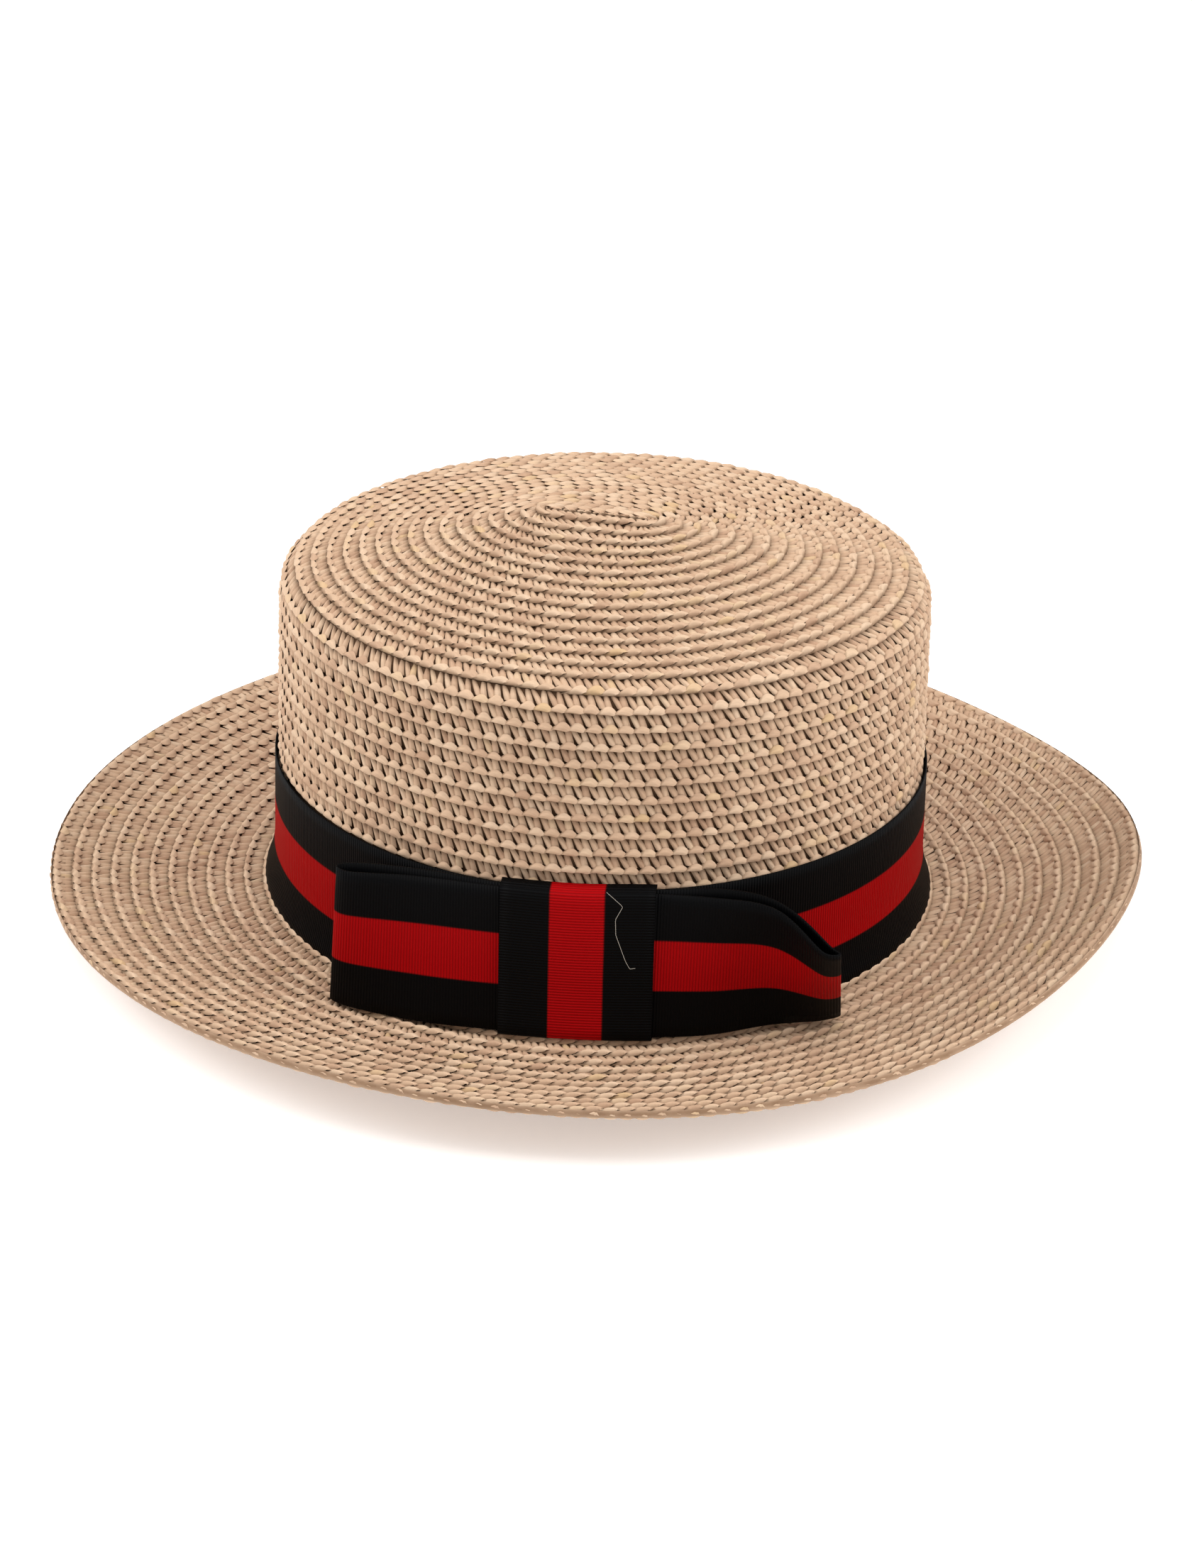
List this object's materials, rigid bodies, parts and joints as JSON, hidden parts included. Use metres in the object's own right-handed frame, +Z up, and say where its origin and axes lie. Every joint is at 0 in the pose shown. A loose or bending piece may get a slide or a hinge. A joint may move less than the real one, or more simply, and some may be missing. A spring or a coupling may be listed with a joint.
{
  "type": "straw boater hat",
  "caption": "Straw hat with an oval crown whose top rises slightly to its middle, a level brim that curls up, a striped ribbon band and a flat bow.",
  "frame": {"origin": "on the resting plane, midway along the brim's length and width", "axes": "+X along the brim's length towards the back of the wearer's head, -Y the side with the bow, +Z up out of the crown's top"},
  "size_m": [0.3328, 0.302, 0.1226],
  "materials": {
    "straw": "sewn braid of twisted paper straw",
    "band_ribbon": "ribbed ribbon with a red middle stripe",
    "bow_ribbon": "ribbed ribbon with a red middle stripe",
    "knot_ribbon": "ribbed ribbon with a red middle stripe"
  },
  "bodies": {
    "root": {"straw_body": "straw", "hat_band": "band_ribbon", "bow_loops": "bow_ribbon", "bow_knot": "knot_ribbon"}
  },
  "joints": []
}
